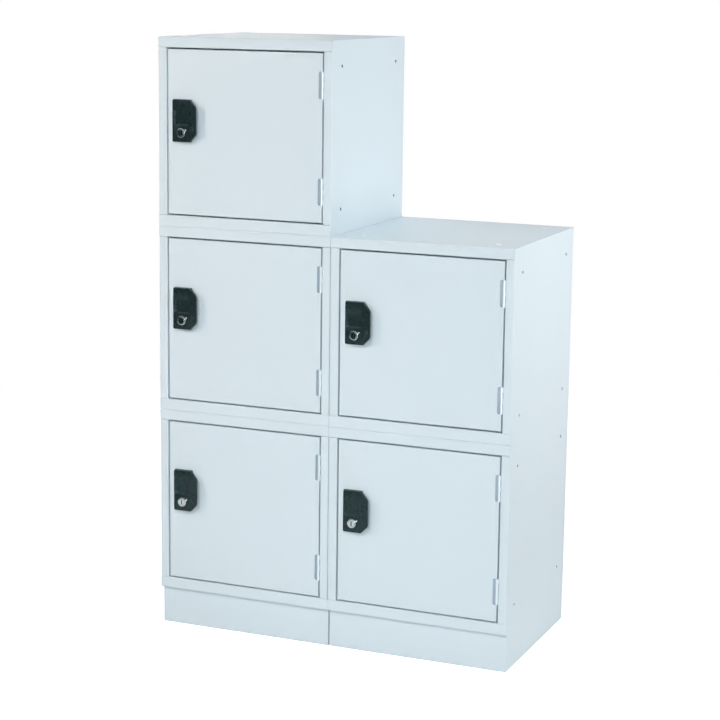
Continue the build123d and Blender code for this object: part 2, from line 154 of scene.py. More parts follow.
def socket(group, name, kind, way, default=None):
    """Adds one named socket to a node group."""
    made = group.interface.new_socket(name=name, in_out=way, socket_type=kind)
    if default is not None:
        made.default_value = default


def new_node(tree, kind, **values):
    """Adds a node, sets its attributes, and its inputs by name where the name starts with "in_"."""
    node = tree.nodes.new(kind)
    for key, value in values.items():
        if key.startswith("in_"):
            node.inputs[key[3:].replace("_", " ")].default_value = value
        else:
            setattr(node, key, value)
    return node


def powder_coat_group():
    """Height and patchiness of a sprayed and baked powder coat."""
    group = bpy.data.node_groups.new("PowderCoat", "ShaderNodeTree")
    socket(group, "Vector", "NodeSocketVector", "INPUT")
    socket(group, "Peel Scale", "NodeSocketFloat", "INPUT", 420.0)
    socket(group, "Cloud Scale", "NodeSocketFloat", "INPUT", 7.0)
    socket(group, "Height", "NodeSocketFloat", "OUTPUT")
    socket(group, "Cloud", "NodeSocketFloat", "OUTPUT")
    socket(group, "Speckle", "NodeSocketFloat", "OUTPUT")
    start = group.nodes.new("NodeGroupInput")
    end = group.nodes.new("NodeGroupOutput")
    link = group.links.new
    peel = new_node(group, "ShaderNodeTexNoise", in_Detail=2.0, in_Roughness=0.45)
    fine = new_node(group, "ShaderNodeTexNoise", in_Detail=1.0)
    cloud = new_node(group, "ShaderNodeTexNoise", in_Detail=3.0)
    times = new_node(group, "ShaderNodeMath", operation="MULTIPLY")
    times.inputs[1].default_value = 3.7
    blend = new_node(group, "ShaderNodeMath", operation="MULTIPLY_ADD")
    blend.inputs[1].default_value = 0.35
    speck = new_node(group, "ShaderNodeMapRange", in_From_Min=0.3, in_From_Max=0.7)
    for noise in (peel, fine, cloud):
        link(start.outputs["Vector"], noise.inputs["Vector"])
    link(start.outputs["Peel Scale"], peel.inputs["Scale"])
    link(start.outputs["Peel Scale"], times.inputs[0])
    link(times.outputs[0], fine.inputs["Scale"])
    link(start.outputs["Cloud Scale"], cloud.inputs["Scale"])
    link(fine.outputs["Fac"], blend.inputs[0])
    link(peel.outputs["Fac"], blend.inputs[2])
    link(fine.outputs["Fac"], speck.inputs["Value"])
    link(blend.outputs[0], end.inputs["Height"])
    link(cloud.outputs["Fac"], end.inputs["Cloud"])
    link(speck.outputs[0], end.inputs["Speckle"])


def rub_marks_group():
    """Faint hairlines and smears that handling leaves on gloss and plated surfaces."""
    group = bpy.data.node_groups.new("RubMarks", "ShaderNodeTree")
    socket(group, "Vector", "NodeSocketVector", "INPUT")
    socket(group, "Line Scale", "NodeSocketFloat", "INPUT", 900.0)
    socket(group, "Smear Scale", "NodeSocketFloat", "INPUT", 60.0)
    socket(group, "Lines", "NodeSocketFloat", "OUTPUT")
    socket(group, "Smears", "NodeSocketFloat", "OUTPUT")
    start = group.nodes.new("NodeGroupInput")
    end = group.nodes.new("NodeGroupOutput")
    link = group.links.new
    stretch = new_node(group, "ShaderNodeMapping", in_Rotation=(0.3, 0.5, 0.9), in_Scale=(1.0, 1.0, 0.06))
    lines = new_node(group, "ShaderNodeTexNoise", in_Detail=2.0, in_Roughness=0.6)
    smears = new_node(group, "ShaderNodeTexNoise", in_Detail=4.0, in_Distortion=0.6)
    link(start.outputs["Vector"], stretch.inputs["Vector"])
    link(stretch.outputs["Vector"], lines.inputs["Vector"])
    link(start.outputs["Line Scale"], lines.inputs["Scale"])
    link(start.outputs["Vector"], smears.inputs["Vector"])
    link(start.outputs["Smear Scale"], smears.inputs["Scale"])
    link(lines.outputs["Fac"], end.inputs["Lines"])
    link(smears.outputs["Fac"], end.inputs["Smears"])


def plain_material(name):
    """Makes a material, and gives its node tree, its Principled shader and an Object coordinate."""
    material = bpy.data.materials.new(name)
    material.use_nodes = True
    tree = material.node_tree
    shader = tree.nodes["Principled BSDF"]
    coordinate = tree.nodes.new("ShaderNodeTexCoord")
    return tree, shader, coordinate.outputs["Object"]


def spread(tree, value, low, high):
    """Maps a mask from 0..1 to low..high."""
    node = new_node(tree, "ShaderNodeMapRange", in_To_Min=low, in_To_Max=high)
    tree.links.new(value, node.inputs["Value"])
    return node.outputs[0]


def tinted(tree, mask, colour, amount):
    """A colour that gets darker and lighter by amount as the mask goes from 0 to 1."""
    dark = [c * (1 - amount) for c in colour]
    light = [min(1.0, c * (1 + amount)) for c in colour]
    node = new_node(tree, "ShaderNodeMix", data_type="RGBA", in_A=(*dark, 1.0), in_B=(*light, 1.0))
    tree.links.new(mask, node.inputs["Factor"])
    return node.outputs["Result"]


def bumped(tree, shader, height, distance):
    """Feeds a height in metres times distance to the shader's normal."""
    node = new_node(tree, "ShaderNodeBump", in_Distance=distance, in_Strength=1.0)
    tree.links.new(height, node.inputs["Height"])
    tree.links.new(node.outputs["Normal"], shader.inputs["Normal"])


def placed_group(tree, name, vector, **values):
    """Puts a node group in a material and sets its inputs by name."""
    node = tree.nodes.new("ShaderNodeGroup")
    node.node_tree = bpy.data.node_groups[name]
    tree.links.new(vector, node.inputs["Vector"])
    for key, value in values.items():
        node.inputs[key.replace("_", " ")].default_value = value
    return node


def paint_material(name, colour, roughness, cloud_scale):
    """Powder coat: even in colour, with a faint peel."""
    tree, shader, vector = plain_material(name)
    coat = placed_group(tree, "PowderCoat", vector, Cloud_Scale=cloud_scale)
    tree.links.new(tinted(tree, coat.outputs["Cloud"], colour, 0.012), shader.inputs["Base Color"])
    varied = spread(tree, coat.outputs["Speckle"], roughness - 0.05, roughness + 0.05)
    tree.links.new(varied, shader.inputs["Roughness"])
    bumped(tree, shader, coat.outputs["Height"], 0.00006)
    shader.inputs["Specular IOR Level"].default_value = 0.4


def moulding_material(colour):
    """Satin black plastic, a little marked by hands."""
    tree, shader, vector = plain_material("black_moulding_satin")
    coat = placed_group(tree, "PowderCoat", vector, Peel_Scale=1500.0, Cloud_Scale=40.0)
    marks = placed_group(tree, "RubMarks", vector)
    tree.links.new(tinted(tree, coat.outputs["Cloud"], colour, 0.12), shader.inputs["Base Color"])
    tree.links.new(spread(tree, marks.outputs["Smears"], 0.22, 0.34), shader.inputs["Roughness"])
    bumped(tree, shader, coat.outputs["Height"], 0.00001)
    shader.inputs["Specular IOR Level"].default_value = 0.32
    shader.inputs["Specular Tint"].default_value = (0.62, 0.96, 1.0, 1.0)


def chrome_material(colour):
    """Bright chrome plate with faint hairlines."""
    tree, shader, vector = plain_material("lock_chrome_plate")
    marks = placed_group(tree, "RubMarks", vector, Line_Scale=1600.0, Smear_Scale=150.0)
    shader.inputs["Metallic"].default_value = 1.0
    tree.links.new(tinted(tree, marks.outputs["Smears"], colour, 0.03), shader.inputs["Base Color"])
    tree.links.new(spread(tree, marks.outputs["Lines"], 0.05, 0.14), shader.inputs["Roughness"])
    bumped(tree, shader, marks.outputs["Lines"], 0.000004)


def zinc_material(name, colour, low, high):
    """Zinc plate, with its roughness between low and high."""
    tree, shader, vector = plain_material(name)
    marks = placed_group(tree, "RubMarks", vector, Line_Scale=1200.0, Smear_Scale=220.0)
    shader.inputs["Metallic"].default_value = 1.0
    tree.links.new(tinted(tree, marks.outputs["Smears"], colour, 0.06), shader.inputs["Base Color"])
    tree.links.new(spread(tree, marks.outputs["Lines"], low, high), shader.inputs["Roughness"])
    bumped(tree, shader, marks.outputs["Lines"], 0.00001)


def plug_material(colour):
    """White moulded plastic."""
    tree, shader, vector = plain_material("white_plug_plastic")
    coat = placed_group(tree, "PowderCoat", vector, Peel_Scale=1800.0, Cloud_Scale=90.0)
    tree.links.new(tinted(tree, coat.outputs["Cloud"], colour, 0.03), shader.inputs["Base Color"])
    tree.links.new(spread(tree, coat.outputs["Speckle"], 0.38, 0.5), shader.inputs["Roughness"])
    bumped(tree, shader, coat.outputs["Height"], 0.00001)


# Mesh helpers

SHEET_REACH = 0.0016  # metres from a case's side within which its sheet lies


def origin_of(cube):
    """The lower front left corner of a cube, which is the origin of its own frame."""
    low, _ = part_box(f"{cube}_wrap")
    bottom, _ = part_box(f"{cube}_bottom_panel")
    return Vector((low[0], low[1], bottom[2]))


def finish_mesh(bm, name, material, body, replaced, place=Matrix.Identity(4), angle=35.0):
    """Makes a piece of a bmesh drawn in a cube's frame, ties it to its body and hides the CAD nodes it
    replaces.
    """
    bmesh.ops.transform(bm, matrix=place @ Matrix.Scale(MM, 4), verts=bm.verts)
    bmesh.ops.recalc_face_normals(bm, faces=bm.faces)
    mesh = bpy.data.meshes.new(name)
    bm.to_mesh(mesh)
    bm.free()
    finish_piece(mesh, name, material, body, replaced, angle)


def finish_piece(mesh, name, material, body, replaced, angle):
    """Makes a piece of a mesh, smooth up to an angle, ties it to its body and hides the CAD nodes it
    replaces.
    """
    mesh.shade_smooth()
    mesh.set_sharp_from_angle(angle=math.radians(angle))
    mesh.materials.clear()
    mesh.materials.append(material)
    piece = bpy.data.objects.new(name, mesh)
    bpy.context.scene.collection.objects.link(piece)
    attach(piece, body)
    if replaced:
        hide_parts(*replaced)


def refined_copy(node, material, body, seam=0.0):
    """A merged copy of a CAD node with its flat faces joined up, parted again where two solids touch.

    The sheets at its left and right are drawn in by the seam, so that a fine gap shows between two columns.
    """
    bm = bmesh.new()
    bm.from_mesh(NODES[node].data)
    low = min(v.co.x for v in bm.verts) + SHEET_REACH
    high = max(v.co.x for v in bm.verts) - SHEET_REACH
    for v in bm.verts:
        if v.co.x < low:
            v.co.x += seam
        elif v.co.x > high:
            v.co.x -= seam
    bmesh.ops.remove_doubles(bm, verts=bm.verts, dist=1e-6)
    crossed = [e for e in bm.edges if len(e.link_faces) > 2]
    if crossed:
        bmesh.ops.split_edges(bm, edges=crossed)
    bmesh.ops.dissolve_limit(bm, angle_limit=math.radians(0.5), verts=bm.verts, edges=bm.edges)
    mesh = bpy.data.meshes.new(f"{node}_painted")
    bm.to_mesh(mesh)
    bm.free()
    finish_piece(mesh, f"{node}_painted", material, body, [node], 25.0)


def bevel_edges(bm, edges, width, segments=2):
    """Rounds some edges, if there are any."""
    if edges:
        bmesh.ops.bevel(
            bm, geom=edges, offset=width, offset_type="OFFSET", affect="EDGES",
            segments=segments, profile=0.5, material=-1, clamp_overlap=True)


def sharp_edges(bm, degrees):
    """Edges between two faces that meet at more than an angle."""
    limit = math.radians(degrees)
    return [e for e in bm.edges if len(e.link_faces) == 2 and e.calc_face_angle(0.0) > limit]


def spun(bm, profile, centre, axis, steps, closed=True):
    """Turns a profile of (radius, height) round an axis along Y or Z.

    A closed profile makes a ring. An open one starts and ends on the axis, where it closes at a pole.
    """
    lies = {
        "Y": lambda r, h: (centre[0] + r, h, centre[1]),
        "Z": lambda r, h: (centre[0] + r, centre[1], h),
    }[axis]
    middle = lies(0.0, 0.0)
    verts = [bm.verts.new(lies(r, h)) for r, h in profile]
    pairs = list(zip(verts, verts[1:])) + ([(verts[-1], verts[0])] if closed else [])
    edges = [bm.edges.new(pair) for pair in pairs]
    along = (0, 1, 0) if axis == "Y" else (0, 0, 1)
    bmesh.ops.spin(
        bm, geom=verts + edges, cent=middle, axis=along, angle=math.tau, steps=steps, use_merge=True)
    bmesh.ops.remove_doubles(bm, verts=bm.verts, dist=1e-5)


def brick(bm, low, high, edge=0.0):
    """A box between two corners with its edges rounded."""
    made = bmesh.ops.create_cube(bm, size=1.0)["verts"]
    size = [b - a for a, b in zip(low, high)]
    middle = [(a + b) / 2 for a, b in zip(low, high)]
    bmesh.ops.scale(bm, vec=size, verts=made)
    bmesh.ops.translate(bm, vec=middle, verts=made)
    if edge:
        bevel_edges(bm, list({e for v in made for e in v.link_edges}), edge)


def cut_away(bm, cutter):
    """Takes one bmesh from another with an exact Boolean, and gives back the result as a new bmesh."""
    objects = []
    for item in (bm, cutter):
        bmesh.ops.recalc_face_normals(item, faces=item.faces)
        mesh = bpy.data.meshes.new("cut")
        item.to_mesh(mesh)
        item.free()
        thing = bpy.data.objects.new("cut", mesh)
        bpy.context.scene.collection.objects.link(thing)
        objects.append(thing)
    body, tool = objects
    modifier = body.modifiers.new("cut", "BOOLEAN")
    modifier.operation = "DIFFERENCE"
    modifier.solver = "EXACT"
    modifier.object = tool
    graph = bpy.context.evaluated_depsgraph_get()
    result = bmesh.new()
    result.from_object(body, graph)
    for thing in objects:
        mesh = thing.data
        bpy.data.objects.remove(thing)
        bpy.data.meshes.remove(mesh)
    return result


def joined(bm, other):
    """Adds a second bmesh to the first, and frees the second."""
    mesh = bpy.data.meshes.new("joined")
    other.to_mesh(mesh)
    other.free()
    bm.from_mesh(mesh)
    bpy.data.meshes.remove(mesh)
    return bm


def prism(sides, radius, height):
    """A regular prism along Z about the origin."""
    bm = bmesh.new()
    bmesh.ops.create_cone(bm, cap_ends=True, segments=sides, radius1=radius, radius2=radius, depth=height)
    return bm


def laid_along_y(bm):
    """Turns a shape that stands along Z so that it lies along Y."""
    bmesh.ops.rotate(bm, cent=(0, 0, 0), matrix=Matrix.Rotation(math.pi / 2, 3, "X"), verts=bm.verts)


def cylinder_cutter(radius, middle, length):
    """A plain cylinder along Y, to cut a hole with."""
    bm = prism(48, radius, length)
    laid_along_y(bm)
    bmesh.ops.translate(bm, vec=middle, verts=bm.verts)
    return bm


# Handle
# From here to the studio, lengths are millimetres in a cube's own frame.

HANDLE_LEFT, HANDLE_RIGHT = 33.6, 75.0
HANDLE_BOTTOM, HANDLE_TOP = 171.7, 256.9
HANDLE_FACE, HANDLE_DRAFT = -10.0, 3.4
LIP_X, LIP_FRONT, LIP_FLAT, LIP_THICK = 92.5, -15.0, 3.0, 2.6
LIP_BOTTOM, LIP_TOP = 187.0, 243.0
LIP_START = 71.5
CORNER_ROUND, LIP_ROUND, RIM_ROUND = 2.5, 4.0, 1.5
SCOOP_LEFT, SCOOP_WALL, SCOOP_RIGHT_WALL = 39.6, 3.4, 0.6
SCOOP_FOOT, SCOOP_TOP = 204.5, 242.5
SCOOP_STEPS, SCOOP_ROUND = 8, 0.9
RIB_COUNT, RIB_PITCH, RIB_HALF, RIB_ROUND = 6, 4.2, 0.7, 0.3
RIB_BOTTOM, RIB_TOP, RIB_ROOT = 243.5, 251.0, 0.4
BEAD_X, BEAD_Z, BEAD_RADIUS, BEAD_SUNK = 82.4, 197.5, 5.6, 3.93
BEAD_STRETCH, BEAD_FOOT = 1.9, 0.4
LOCK_X, LOCK_Z, LOCK_HOLE = 55.6, 190.2, 8.1
TAPER = math.tan(math.radians(3.0))


def close_cut(bm, point, normal):
    """Cuts off what lies beyond a plane and closes the cut."""
    made = bmesh.ops.bisect_plane(
        bm, geom=bm.verts[:] + bm.edges[:] + bm.faces[:], dist=1e-5,
        plane_co=point, plane_no=normal, clear_outer=True)
    rim = [e for e in made["geom_cut"] if isinstance(e, bmesh.types.BMEdge)]
    bmesh.ops.edgeloop_fill(bm, edges=rim)


def split(bm, point, normal):
    """Parts the faces that a plane crosses."""
    bmesh.ops.bisect_plane(
        bm, geom=bm.verts[:] + bm.edges[:] + bm.faces[:], dist=1e-4, plane_co=point, plane_no=normal)


def handle_blank():
    """The handle's outer form: its plan drawn up, cut to its outline, tapered and rounded."""
    plan = [
        (HANDLE_LEFT, 0.0),
        (HANDLE_LEFT + HANDLE_DRAFT, HANDLE_FACE),
        (LIP_START, HANDLE_FACE),
        (LIP_X - LIP_FLAT, LIP_FRONT),
        (LIP_X, LIP_FRONT),
        (LIP_X, LIP_FRONT + LIP_THICK),
        (HANDLE_RIGHT + 9.0, HANDLE_FACE + 2.2),
        (HANDLE_RIGHT + 3.0, HANDLE_FACE + 5.4),
        (HANDLE_RIGHT, 0.0),
    ]
    bm = bmesh.new()
    foot = [bm.verts.new((x, y, HANDLE_BOTTOM)) for x, y in plan]
    face = bm.faces.new(foot)
    drawn = bmesh.ops.extrude_face_region(bm, geom=[face])["geom"]
    top = [v for v in drawn if isinstance(v, bmesh.types.BMVert)]
    bmesh.ops.translate(bm, vec=(0, 0, HANDLE_TOP - HANDLE_BOTTOM), verts=top)
    cuts = (
        ((HANDLE_RIGHT, HANDLE_TOP), (LIP_X, LIP_TOP), 1.0),
        ((HANDLE_RIGHT, HANDLE_BOTTOM), (LIP_X, LIP_BOTTOM), -1.0),
    )
    for start, end, side in cuts:
        along = Vector((end[0] - start[0], 0, end[1] - start[1]))
        normal = Vector((-along.z, 0, along.x)) * side
        close_cut(bm, (start[0], 0, start[1]), normal)
    middle = (HANDLE_BOTTOM + HANDLE_TOP) / 2
    for v in bm.verts:
        proud = -v.co.y * TAPER
        v.co.z += -proud if v.co.z > middle else proud
        if v.co.x > HANDLE_RIGHT:
            v.co.x -= proud
    corners = []
    lip = []
    for e in bm.edges:
        a, b = (v.co for v in e.verts)
        if abs(a.y - b.y) < 1.0 or abs(a.z - b.z) > 1.5:
            continue
        if max(a.x, b.x) < HANDLE_LEFT + HANDLE_DRAFT + 0.5:
            corners.append(e)
        elif min(a.x, b.x) > LIP_X - 1.6:
            lip.append(e)
    bevel_edges(bm, corners, CORNER_ROUND, 5)
    bevel_edges(bm, [e for e in lip if e.is_valid], LIP_ROUND, 5)
    return bm


def is_lip_rim(edge):
    """Whether an edge runs along the outer front edge of the lip."""
    a, b = (v.co for v in edge.verts)
    return min(a.x, b.x) > LIP_X - 2.2 and max(a.y, b.y) < LIP_FRONT + 1.0 and abs(a.z - b.z) > 8.0


def finger_stop():
    """A long low bead on the slope of the lip, which keeps a fingertip from sliding down."""
    slope = math.atan2(HANDLE_FACE - LIP_FRONT, LIP_X - LIP_FLAT - LIP_START)
    inward = Vector((math.sin(slope), math.cos(slope), 0.0))
    foot = Vector((BEAD_X, HANDLE_FACE - (BEAD_X - LIP_START) * math.tan(slope), BEAD_Z))
    bm = bmesh.new()
    bmesh.ops.create_uvsphere(bm, u_segments=64, v_segments=48, radius=BEAD_RADIUS)
    bmesh.ops.scale(bm, vec=(1.0, 1.0, BEAD_STRETCH), verts=bm.verts)
    bmesh.ops.translate(bm, vec=foot + inward * BEAD_SUNK, verts=bm.verts)
    close_cut(bm, foot + inward * BEAD_FOOT, inward)
    return bm


def hollow_scoop(bm, depth):
    """Sinks the thumb scoop into the face: deepest at its foot, and level with the face at its top."""
    columns = (SCOOP_LEFT, SCOOP_LEFT + SCOOP_WALL, LIP_START - SCOOP_RIGHT_WALL, LIP_START)
    foot_wall = SCOOP_FOOT + SCOOP_WALL
    rise = SCOOP_TOP - foot_wall
    levels = [SCOOP_FOOT] + [foot_wall + rise * i / SCOOP_STEPS for i in range(SCOOP_STEPS + 1)]
    for x in columns:
        split(bm, (x, 0, 0), (1, 0, 0))
    for z in levels:
        split(bm, (0, 0, z), (0, 0, 1))
    for v in bm.verts:
        on_face = abs(v.co.y - HANDLE_FACE) <= 0.02
        inside_x = columns[1] - 0.01 < v.co.x < columns[2] + 0.01
        inside_z = foot_wall - 0.01 < v.co.z < SCOOP_TOP - 0.01
        if on_face and inside_x and inside_z:
            up = max(0.0, (v.co.z - foot_wall) / rise)
            v.co.y += depth * (1 - up ** 5)


def is_scoop_edge(edge):
    """Whether an edge lies in the scoop or on its rim."""
    a, b = (v.co for v in edge.verts)
    inside_x = SCOOP_LEFT - 0.1 < min(a.x, b.x) and max(a.x, b.x) < LIP_START + 0.1
    inside_z = SCOOP_FOOT - 0.1 < min(a.z, b.z) and max(a.z, b.z) < SCOOP_TOP + 0.1
    return inside_x and inside_z and min(a.y, b.y) > HANDLE_FACE - 0.3 and max(a.y, b.y) < -1


def handle_mesh(sizes):
    """The handle with its scoop, its ribs, its bead and the hole for the lock."""
    bm = handle_blank()
    bevel_edges(bm, [e for e in sharp_edges(bm, 40.0) if is_lip_rim(e)], RIM_ROUND, 4)
    front = [e for e in sharp_edges(bm, 20.0) if max(v.co.y for v in e.verts) < -0.5 and not is_lip_rim(e)]
    bevel_edges(bm, front, sizes.handle_edge / MM, 3)
    hollow_scoop(bm, sizes.scoop_depth / MM)
    bevel_edges(bm, [e for e in sharp_edges(bm, 18.0) if is_scoop_edge(e)], SCOOP_ROUND, 3)
    bm = cut_away(bm, cylinder_cutter(LOCK_HOLE, (LOCK_X, 0, LOCK_Z), 40.0))
    first = (SCOOP_LEFT + LIP_START - (RIB_COUNT - 1) * RIB_PITCH) / 2
    for i in range(RIB_COUNT):
        x = first + i * RIB_PITCH
        low = (x - RIB_HALF, HANDLE_FACE - sizes.rib_height / MM, RIB_BOTTOM)
        brick(bm, low, (x + RIB_HALF, HANDLE_FACE + RIB_ROOT, RIB_TOP), RIB_ROUND)
    return joined(bm, finger_stop())


class LOCKERS_OT_handles(bpy.types.Operator):
    """Mould the five pull handles"""

    bl_idname = "lockers.handles"
    bl_label = "Handles"

    def execute(self, context):
        sizes = context.scene.locker_sizes
        material = bpy.data.materials["black_moulding_satin"]
        handle = handle_mesh(sizes)
        for cube in CUBES:
            place = Matrix.Translation(origin_of(cube))
            finish_mesh(
                handle.copy(), f"{cube}_pull_handle", material, f"{cube}_door_body",
                [f"{cube}_lock_handle"], place, angle=30.0)
        handle.free()
        return {"FINISHED"}


# Finishes and sheet metal

class LOCKERS_OT_finishes(bpy.types.Operator):
    """Make every finish of the bank"""

    bl_idname = "lockers.finishes"
    bl_label = "Finishes"

    def execute(self, context):
        colours = context.scene.locker_colours
        powder_coat_group()
        rub_marks_group()
        paint = tuple(colours.paint)
        paint_material("case_powder_coat", paint, colours.paint_roughness, 6.0)
        paint_material("door_powder_coat", paint, colours.paint_roughness, 7.5)
        paint_material("plinth_powder_coat", paint, colours.paint_roughness, 9.0)
        moulding_material(tuple(colours.moulding))
        chrome_material(tuple(colours.chrome))
        zinc_material("hinge_knuckle_zinc", tuple(colours.knuckle), 0.5, 0.65)
        # The leaves' zinc is dull, and darkened as painted shade for the door's notch around them.
        zinc_material("hinge_leaf_zinc", tuple(colours.leaf), 0.6, 0.72)
        zinc_material("fastener_zinc_plate", tuple(colours.zinc), 0.3, 0.5)
        plug_material(tuple(colours.plug_plastic))
        return {"FINISHED"}


class LOCKERS_OT_sheet_metal(bpy.types.Operator):
    """Paint the cases, the doors and the plinths"""

    bl_idname = "lockers.sheet_metal"
    bl_label = "Sheet metal"

    def execute(self, context):
        sizes = context.scene.locker_sizes
        case = bpy.data.materials["case_powder_coat"]
        door = bpy.data.materials["door_powder_coat"]
        plinth = bpy.data.materials["plinth_powder_coat"]
        for cube in CUBES:
            for part in ("wrap", "top_panel", "bottom_panel"):
                refined_copy(f"{cube}_{part}", case, "cabinet", sizes.case_seam)
            refined_copy(f"{cube}_door", door, f"{cube}_door_body")
        for side in ("left", "right"):
            refined_copy(f"plinth_{side}", plinth, "cabinet", sizes.plinth_seam)
        return {"FINISHED"}


# Hinges

PIN_X, PIN_Y = 360.0, -0.3
PIN_R, BORE_R, KNUCKLE_R, LEAF = 1.25, 1.3, 2.5, 1.2
HINGE_LENGTH, KNUCKLES, KNUCKLE_GAP = 52.7, 5, 0.3
HINGE_LEVELS = (86.4, 293.6)
PLATE_START = KNUCKLE_R + 0.4
LEAF_ROUND, CURL_ROUND, CURL_OVERLAP = 0.25, 0.15, 0.5
PIN_PROUD, RIVET_HEIGHT, RIVET_SHARE = 0.3, 0.4, 0.6
FRAME_RIGHT, FRAME_START = PIN_X + KNUCKLE_R, PIN_Y + PLATE_START
DOOR_BACK, DOOR_END = PIN_Y + KNUCKLE_R, PIN_X - PLATE_START
# Each plan is left, front, right and back
FRAME_LEAF = (FRAME_RIGHT - LEAF, FRAME_START, FRAME_RIGHT, 13.0)
FRAME_CURL = (FRAME_RIGHT - LEAF, PIN_Y, FRAME_RIGHT, FRAME_START + CURL_OVERLAP)
DOOR_LEAF = (PIN_X - 22.0, DOOR_BACK - LEAF, DOOR_END, DOOR_BACK)
DOOR_CURL = (DOOR_END - CURL_OVERLAP, DOOR_BACK - LEAF, PIN_X, DOOR_BACK)


def knuckle_spans(level, first):
    """The heights of every other knuckle of one hinge, from the first or the second up."""
    pitch = HINGE_LENGTH / KNUCKLES
    bottom = level - HINGE_LENGTH / 2
    spans = []
    for i in range(first, KNUCKLES, 2):
        low = bottom + i * pitch + (KNUCKLE_GAP / 2 if i else 0.0)
        high = bottom + (i + 1) * pitch - (KNUCKLE_GAP / 2 if i < KNUCKLES - 1 else 0.0)
        spans.append((low, high))
    return spans


def knuckle(bm, low, high):
    """One rolled knuckle with eased rims."""
    rim = 0.2
    profile = [
        (BORE_R, low + rim), (BORE_R + rim, low), (KNUCKLE_R - rim, low), (KNUCKLE_R, low + rim),
        (KNUCKLE_R, high - rim), (KNUCKLE_R - rim, high), (BORE_R + rim, high), (BORE_R, high - rim),
    ]
    spun(bm, profile, (PIN_X, PIN_Y), "Z", 32)


def pressed_leaves(plan):
    """The flat part of one side's leaf, at both hinges."""
    left, front, right, back = plan
    half = HINGE_LENGTH / 2
    bm = bmesh.new()
    for level in HINGE_LEVELS:
        brick(bm, (left, front, level - half), (right, back, level + half), LEAF_ROUND)
    return bm


def rolled_knuckles(plan, first):
    """One side's knuckles, at both hinges, each with the curl that joins it to its leaf."""
    left, front, right, back = plan
    bm = bmesh.new()
    for level in HINGE_LEVELS:
        for low, high in knuckle_spans(level, first):
            knuckle(bm, low, high)
            brick(bm, (left, front, low), (right, back, high), CURL_ROUND)
    return bm


def hinge_pins():
    """Both pins, with riveted ends."""
    bm = bmesh.new()
    for level in HINGE_LEVELS:
        half = HINGE_LENGTH / 2 + PIN_PROUD
        low, high = level - half, level + half
        end = PIN_R * RIVET_SHARE
        profile = [
            (0.0, low), (end, low), (PIN_R, low + RIVET_HEIGHT),
            (PIN_R, high - RIVET_HEIGHT), (end, high), (0.0, high),
        ]
        spun(bm, profile, (PIN_X, PIN_Y), "Z", 24, closed=False)
    return bm


class LOCKERS_OT_hinges(bpy.types.Operator):
    """Roll and plate the hinges"""

    bl_idname = "lockers.hinges"
    bl_label = "Hinges"

    def execute(self, context):
        bright = bpy.data.materials["hinge_knuckle_zinc"]
        # The leaves use a darker zinc that holds painted shade for the notch in the door.
        shaded_leaf_zinc = bpy.data.materials["hinge_leaf_zinc"]
        parts = (
            ("frame_leaves_pressed", pressed_leaves(FRAME_LEAF), shaded_leaf_zinc, "cabinet", "hinge_frame_leaves"),
            ("frame_knuckles_rolled", rolled_knuckles(FRAME_CURL, 0), bright, "cabinet", None),
            ("door_leaves_pressed", pressed_leaves(DOOR_LEAF), shaded_leaf_zinc, "door", "hinge_door_leaves"),
            ("door_knuckles_rolled", rolled_knuckles(DOOR_CURL, 1), bright, "door", None),
            ("hinge_pins_riveted", hinge_pins(), bright, "cabinet", "hinge_pins"),
        )
        for cube in CUBES:
            place = Matrix.Translation(origin_of(cube))
            for name, bm, material, carrier, node in parts:
                body = "cabinet" if carrier == "cabinet" else f"{cube}_door_body"
                replaced = [f"{cube}_{node}"] if node else []
                finish_mesh(bm.copy(), f"{cube}_{name}", material, body, replaced, place)
        for _, bm, *_ in parts:
            bm.free()
        return {"FINISHED"}


# Locks

COLLAR_HEIGHT, EAR_REACH, EAR_ANGLE = 1.2, 11.6, 29.0
PLUG_BORE, COLLAR_BORE = 6.05, 7.65
THREAD_CREST, THREAD_START, THREAD_STEP, THREAD_STEPS = 8.0, 2.5, 0.5, 28
NUT_RADIUS, NUT_HEIGHT, NUT_MIDDLE, NUT_ROUND = 12.7, 4.0, 3.0, 0.45
PLUG_PLAY, PLUG_HEIGHT, PLUG_RADIUS, PLUG_CORE = 0.05, 1.9, 7.6, 6.0
PLUG_FRONT = HANDLE_FACE - PLUG_PLAY - PLUG_HEIGHT
BARREL_BACK, PLUG_BACK, CAM_BACK = 17.0, 19.4, 21.4
KEYWAY_HALF, KEYWAY_REACH, KEYWAY_DEPTH, KEYWAY_ROUND = 1.1, 4.75, 7.0, 0.35
SHUTTER_HALF, SHUTTER_REACH, SHUTTER_GAP = 1.05, 4.7, 0.1
SHUTTER_FRONT, SHUTTER_BACK, SHUTTER_ROUND = 1.5, 2.3, 0.15
TAIL_HALF, TAIL_START, TAIL_ROUND = 3.5, 19.3, 0.3
CAM_HALF, CAM_DROP, CAM_ROUND, CAM_EDGE = 7.0, 44.0, 6.9, 0.25
CROSS_LONG, CROSS_WIDE, CROSS_FOOT, CROSS_TOP = 5.2, 1.1, 22.4, 26.0


